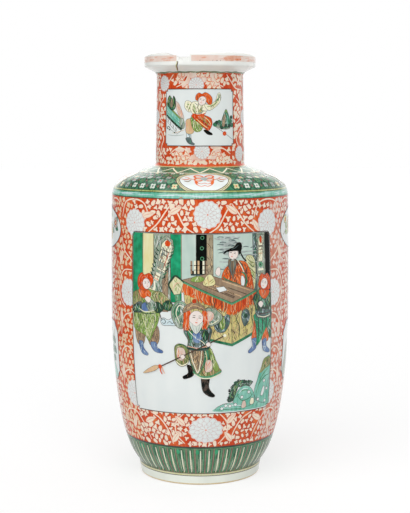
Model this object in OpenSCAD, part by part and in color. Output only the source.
// Rouleau vase of glazed porcelain, thrown in sections and luted together with slip.
// Millimetres, +Z up. The origin is the centre of the resting circle, and the front faces -Y.
// Every section is one wall turned about Z, with a short upright land at each luted edge.

/* [Overall] */
// Height from the table to the top of the lip
height = 450; // [420:1:500]
// Thickness of the thrown wall
wall = 5.5; // [4:0.1:7]

/* [Foot] */
// Outside diameter where the foot ring meets the body
foot_d = 133; // [124:1:144]
// Height of the foot ring
foot_h = 14; // [12:0.5:17]
// How far the foot ring draws in from its top to the table
foot_draw = 1.8; // [0.5:0.1:3]
// Inside diameter of the foot ring
foot_bore_d = 110; // [100:1:114]
// Radius of the ring's resting edges
foot_edge_r = 2.2; // [0.8:0.1:3]
// Depth of the hollow under the base
recess_h = 9.5; // [7:0.5:10.5]
// Thickness of the base disc
base_t = 6.5; // [5:0.5:8]

/* [Body] */
// Height of the lower thrown section
lower_body_h = 175; // [160:1:200]
// Height of the upper thrown section
upper_body_h = 106.5; // [90:0.5:125]
// Diameter at the waist seam, the widest part
waist_d = 190.6; // [182:0.2:200]
// How far the wall draws in from the waist to the seam under the shoulder
shoulder_draw = 1; // [0:0.1:5]
// Lean of the wall from upright where it rises off the foot
heel_angle = 43; // [35:1:50]
// Thickness of the wall at the heel
heel_wall = 9; // [7:0.5:10]
// Reach of the heel's curve
heel_reach = 36; // [28:1:42]
// Reach of the waist's curve
waist_reach = 55; // [40:1:70]

/* [Shoulder] */
// Radius of the roll at the shoulder's edge
roll_r = 24; // [18:0.5:29]
// Slope of the shoulder from level
shoulder_slope = 19.5; // [14:0.5:24]
// Radius of the hollow where the shoulder meets the neck
neck_fillet_r = 4; // [2.5:0.5:7]

/* [Neck] */
// Diameter at the foot of the neck
neck_d = 94.5; // [86:0.5:102]
// Diameter at the throat, under the mouth
throat_d = 91.5; // [84:0.5:98]

/* [Mouth] */
// Outside diameter of the mouth
mouth_d = 118; // [112:1:128]
// Height of the upright rim
rim_h = 12; // [9:0.5:15]
// Thickness of the rim
rim_wall = 5; // [4:0.1:6.5]
// Slope of the mouth's flare from level
flare_slope = 25; // [18:1:33]
// Radius of the hollow under the flare
flare_r = 6; // [4:0.5:9]
// Radius of the corner between flare and rim
corner_r = 2; // [1:0.1:3]
// Radius of the hollow inside the mouth, at the foot of the rim
dish_r = 4; // [2:0.5:6]

/* [Luting] */
// Thickness of the slip between two sections
slip = 0.8; // [0.4:0.1:1.2]
// Upright land at each luted edge
land = 2; // [2:0.1:4]
// Width of the pared inside edge that the slip fills
pare = 1.6; // [0.8:0.1:1.8]
// How far the slip stands proud on the inside
bead = 0.8; // [0.3:0.1:1.2]
// Width of the slip fillet round the floor
floor_fillet = 4; // [2:0.5:6]

/* [Broken lip] */
// Angle of the break from the front, to the right when positive
chip_angle = -17; // [-60:1:60]
// Width of the deep part of the break
chip_w = 14; // [8:0.5:20]
// Depth of the break below the lip
chip_depth = 5.4; // [3:0.1:7]
// Length of the shallow flake beside it
chip_run = 16; // [6:0.5:20]

/* [Hidden] */
$fn = 128;

porcelain = [0.93, 0.94, 0.92];
biscuit = [0.84, 0.78, 0.69];
iron_red = [0.80, 0.33, 0.22];
leaf_green = [0.23, 0.49, 0.38];
arc_steps = 14;
curve_steps = 28;

// Radii at the seams
foot_r = foot_d / 2;
foot_bore_r = foot_bore_d / 2;
waist_r = waist_d / 2;
edge_r = waist_r - shoulder_draw;
neck_r = neck_d / 2;
throat_r = throat_d / 2;
mouth_r = mouth_d / 2;
seat_r = foot_r - heel_wall * cos(heel_angle);

// Levels of the sections, with a layer of slip between each two
lower_z = foot_h + slip;
waist_z = lower_z + lower_body_h;
upper_z = waist_z + slip;
upper_top_z = upper_z + upper_body_h;
shoulder_z = upper_top_z + slip;
roll_z = shoulder_z + land;
base_z = recess_h + slip;
floor_z = base_z + base_t;
heel_bore_z = lower_z + heel_wall * sin(heel_angle);

// The shoulder's cone runs from its roll to the hollow at the neck
roll_c = [edge_r - roll_r, roll_z];
roll_end = roll_c + roll_r * [sin(shoulder_slope), cos(shoulder_slope)];
cone_run = (roll_end[0] - neck_r - neck_fillet_r * (1 - sin(shoulder_slope))) / cos(shoulder_slope);
neck_fillet_c = roll_end + cone_run * [-cos(shoulder_slope), sin(shoulder_slope)]
    + neck_fillet_r * [sin(shoulder_slope), cos(shoulder_slope)];
shoulder_top_z = neck_fillet_c[1] + land;
neck_z = shoulder_top_z + slip;

// The mouth's flare runs from the hollow at the throat to the corner under the rim
corner_c = [mouth_r - corner_r, height - rim_h];
flare_end = corner_c + corner_r * [sin(flare_slope), -cos(flare_slope)];
flare_run = (flare_end[0] - throat_r - flare_r * (1 - sin(flare_slope))) / cos(flare_slope);
flare_c = flare_end - flare_run * [cos(flare_slope), sin(flare_slope)]
    + flare_r * [sin(flare_slope), -cos(flare_slope)];
mouth_z = flare_c[1] - land;
neck_top_z = mouth_z - slip;

// The dish inside the mouth lies one wall above the flare
dish_start = flare_c + (flare_r + wall) * [-sin(flare_slope), cos(flare_slope)];
dish_edge_r = mouth_r - rim_wall;
dish_run = (dish_edge_r - dish_r * (1 - sin(flare_slope)) - dish_start[0]) / cos(flare_slope);
dish_c = dish_start + dish_run * [cos(flare_slope), sin(flare_slope)]
    + dish_r * [-sin(flare_slope), cos(flare_slope)];

// Points along a round stretch, from one angle to another
function arc(centre, r, from, to) = [
    for (i = [0 : arc_steps])
        let (a = from + (to - from) * i / arc_steps)
            centre + r * [cos(a), sin(a)]
];

// Point and heading on a cubic curve with the corners p, at t from 0 to 1
function cubic(p, t) =
    pow(1 - t, 3) * p[0] + 3 * pow(1 - t, 2) * t * p[1] + 3 * (1 - t) * t * t * p[2] + pow(t, 3) * p[3];
function cubic_heading(p, t) =
    let (d = pow(1 - t, 2) * (p[1] - p[0]) + 2 * (1 - t) * t * (p[2] - p[1]) + t * t * (p[3] - p[2]))
        d / norm(d);

// The points of a list in the opposite order
function back(points) = [for (i = [len(points) - 1 : -1 : 0]) points[i]];

// The pared inside edge of a section whose wall ends at height z: up is 1 at a top, -1 at a bottom
function pared_edge(r, z, up) = [[r - wall, z - up * pare], [r - wall + pare, z]];

// The heel's curve, from the foot to the waist, and the inside of the wall behind it
heel = [
    [foot_r, lower_z],
    [foot_r + heel_reach * sin(heel_angle), lower_z + heel_reach * cos(heel_angle)],
    [waist_r, waist_z - land - waist_reach],
    [waist_r, waist_z - land]
];
function heel_wall_at(t) = wall + (heel_wall - wall) * pow(1 - t, 2);
heel_outside = [for (i = [0 : curve_steps]) cubic(heel, i / curve_steps)];
heel_inside = [
    for (i = [0 : curve_steps])
        let (t = i / curve_steps, h = cubic_heading(heel, t))
            cubic(heel, t) - heel_wall_at(t) * [h[1], -h[0]]
];

// The upper body draws in from the waist to the shoulder, slowly at first
function upper_r(t) = waist_r + (edge_r - waist_r) * t * t;
upper_rise = upper_body_h - 2 * land;
upper_outside = [
    for (i = [0 : arc_steps])
        let (t = i / arc_steps)
            [upper_r(t), upper_z + land + upper_rise * t]
];

shoulder_outside = concat(
    arc(roll_c, roll_r, 0, 90 - shoulder_slope),
    arc(neck_fillet_c, neck_fillet_r, 270 - shoulder_slope, 180)
);
shoulder_inside = concat(
    arc(roll_c, roll_r - wall, 0, 90 - shoulder_slope),
    arc(neck_fillet_c, neck_fillet_r + wall, 270 - shoulder_slope, 180)
);

lip_c = [mouth_r - rim_wall / 2, height - rim_wall / 2];
mouth_outside = concat(
    arc(flare_c, flare_r, 180, 90 + flare_slope),
    arc(corner_c, corner_r, flare_slope - 90, 0),
    arc(lip_c, rim_wall / 2, 0, 180)
);
mouth_inside = concat(
    arc(flare_c, flare_r + wall, 180, 90 + flare_slope),
    arc(dish_c, dish_r, flare_slope - 90, 0)
);

// A ring of slip on the seam above height z, in the pared edges of two sections of outside radius r
module luting(r, z) {
    inside_r = r - wall;
    half = slip / 2 + pare;
    bead_r = (half * half + bead * bead) / (2 * bead);
    bead_c = [inside_r - bead + bead_r, z + slip / 2];
    sweep = asin(half / bead_r);
    color(biscuit)
        rotate_extrude()
            polygon(concat(
                [[inside_r + pare, z], [r, z], [r, z + slip], [inside_r + pare, z + slip]],
                arc(bead_c, bead_r, 180 - sweep, 180 + sweep)
            ));
}

// The turned foot ring, with a rebate inside its top that carries the base disc
module foot_ring() {
    table_r = foot_r - foot_draw;
    outer_edge_c = [table_r - foot_edge_r, foot_edge_r];
    inner_edge_c = [foot_bore_r + foot_edge_r, foot_edge_r];
    color(porcelain)
        rotate_extrude()
            polygon(concat(
                arc(outer_edge_c, foot_edge_r, 270, 360),
                [[foot_r, foot_h], [seat_r, foot_h], [seat_r, recess_h], [foot_bore_r, recess_h]],
                arc(inner_edge_c, foot_edge_r, 180, 270)
            ));
}

// The slip between the foot ring and the lower body
module foot_luting() {
    color(biscuit)
        rotate_extrude()
            polygon([[seat_r, foot_h], [foot_r, foot_h], [foot_r, lower_z], [seat_r, lower_z]]);
}

// The disc that closes the vase, set down into the rebate of the foot ring
module base() {
    color(porcelain)
        translate([0, 0, base_z])
            cylinder(r = seat_r - slip, h = base_t);
}

// The slip under and round the base disc, drawn up into a fillet on the floor
module base_luting() {
    fillet_z = max(heel_bore_z, floor_z + slip);
    color(biscuit)
        rotate_extrude()
            polygon([
                [foot_bore_r, recess_h], [seat_r, recess_h], [seat_r, fillet_z],
                [seat_r - floor_fillet, floor_z], [seat_r - slip, floor_z],
                [seat_r - slip, base_z], [foot_bore_r, base_z]
            ]);
}

// The lower thrown section, from the heel to the waist
module lower_body() {
    color(iron_red)
        rotate_extrude()
            polygon(concat(
                heel_outside,
                [[waist_r, waist_z]],
                back(pared_edge(waist_r, waist_z, 1)),
                back(heel_inside),
                [[seat_r, lower_z]]
            ));
}

// The upper thrown section, from the waist to the shoulder
module upper_body() {
    color(iron_red)
        rotate_extrude()
            polygon(concat(
                [[waist_r, upper_z]],
                upper_outside,
                [[edge_r, upper_top_z]],
                back(pared_edge(edge_r, upper_top_z, 1)),
                back([for (p = upper_outside) p - [wall, 0]]),
                pared_edge(waist_r, upper_z, -1)
            ));
}

// The shoulder cap: a roll, a shallow cone and a hollow up to the neck
module shoulder() {
    color(leaf_green)
        rotate_extrude()
            polygon(concat(
                [[edge_r, shoulder_z]],
                shoulder_outside,
                [[neck_r, shoulder_top_z]],
                back(pared_edge(neck_r, shoulder_top_z, 1)),
                back(shoulder_inside),
                pared_edge(edge_r, shoulder_z, -1)
            ));
}

// The neck, a cylinder that narrows a little to the throat
module neck() {
    color(iron_red)
        rotate_extrude()
            polygon(concat(
                [[neck_r, neck_z], [neck_r, neck_z + land]],
                [[throat_r, neck_top_z - land], [throat_r, neck_top_z]],
                back(pared_edge(throat_r, neck_top_z, 1)),
                [[throat_r - wall, neck_top_z - land], [neck_r - wall, neck_z + land]],
                pared_edge(neck_r, neck_z, -1)
            ));
}

// The dished mouth: a flare, an upright rim and a rounded lip with one break in it
module mouth() {
    color(porcelain)
        difference() {
            rotate_extrude()
                polygon(concat(
                    [[throat_r, mouth_z]],
                    mouth_outside,
                    back(mouth_inside),
                    pared_edge(throat_r, mouth_z, -1)
                ));
            broken_lip();
        }
}

// The piece that is missing from the lip: a deep notch with a long flake to its left
module broken_lip() {
    clear = rim_wall;
    left = -chip_w / 2;
    floor_tilt = chip_depth / 8;
    rotate([0, 0, chip_angle])
        translate([0, clear - mouth_r + rim_wall, height])
            rotate([90, 0, 0])
                linear_extrude(rim_wall + 2 * clear)
                    polygon([
                        [left - chip_run, clear], [left - chip_run, 0],
                        [left, floor_tilt - chip_depth], [0, -chip_depth],
                        [chip_w / 2, floor_tilt - chip_depth], [chip_w / 2 + floor_tilt, clear]
                    ]);
}

foot_ring();
foot_luting();
base();
base_luting();
lower_body();
luting(waist_r, waist_z);  // waist_luting
upper_body();
luting(edge_r, upper_top_z);  // shoulder_luting
shoulder();
luting(neck_r, shoulder_top_z);  // neck_luting
neck();
luting(throat_r, neck_top_z);  // mouth_luting
mouth();
